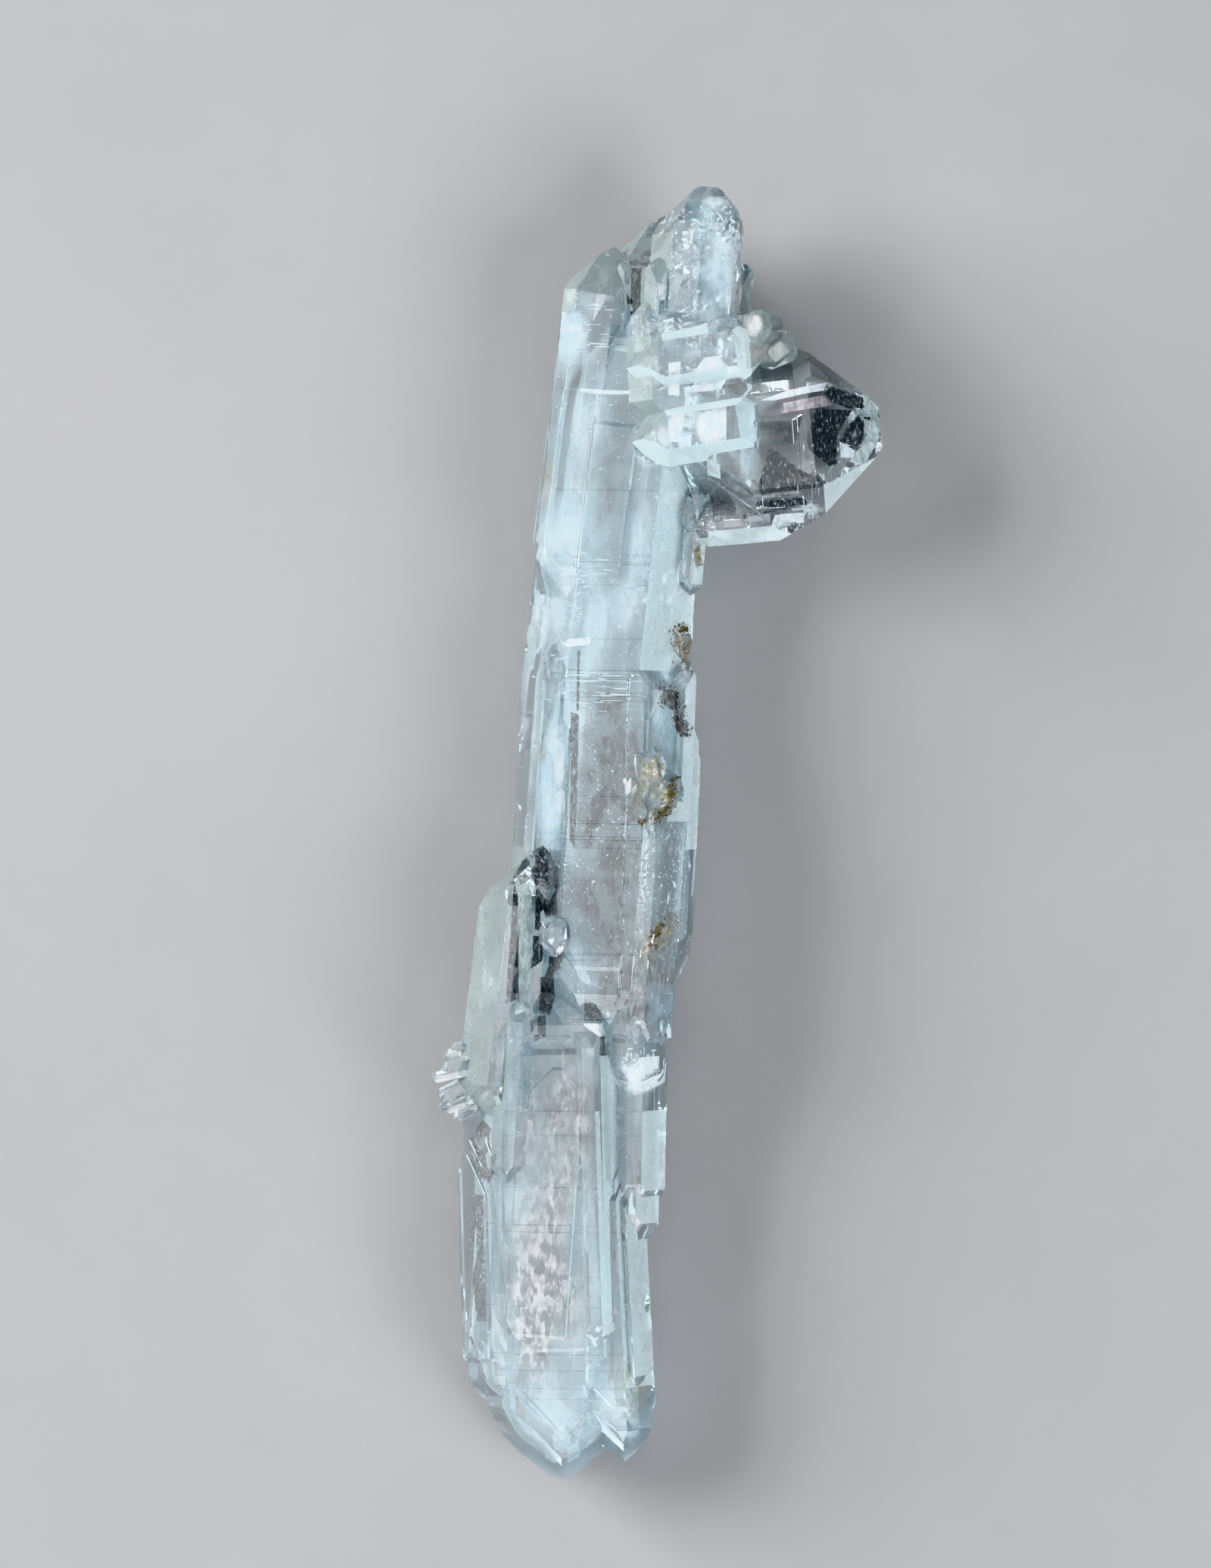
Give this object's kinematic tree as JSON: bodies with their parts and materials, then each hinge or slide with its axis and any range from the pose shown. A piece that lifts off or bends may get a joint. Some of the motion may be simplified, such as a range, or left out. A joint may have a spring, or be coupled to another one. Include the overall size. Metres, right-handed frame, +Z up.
{
  "type": "faden quartz crystal",
  "caption": "Clear quartz specimen of slender crystals grown side by side along one line, with a short cross-grown side group near the upper end, lying flat.",
  "frame": {"origin": "under the middle of the outline, on the surface the specimen rests on", "axes": "+Y along the specimen to its upper end, +X to its right side seen from the front, +Z up out of its front face"},
  "size_m": [0.034, 0.0976, 0.0133],
  "materials": {
    "clear_quartz": "glassy faces with fine cross striations",
    "milky_veil": "milky clouds, healed cracks and bubble trains inside the quartz",
    "iron_crust": "rough brown and pinkish iron crust in the pits"
  },
  "bodies": {
    "root": {"faden_quartz_crystal": "clear_quartz"}
  },
  "joints": []
}
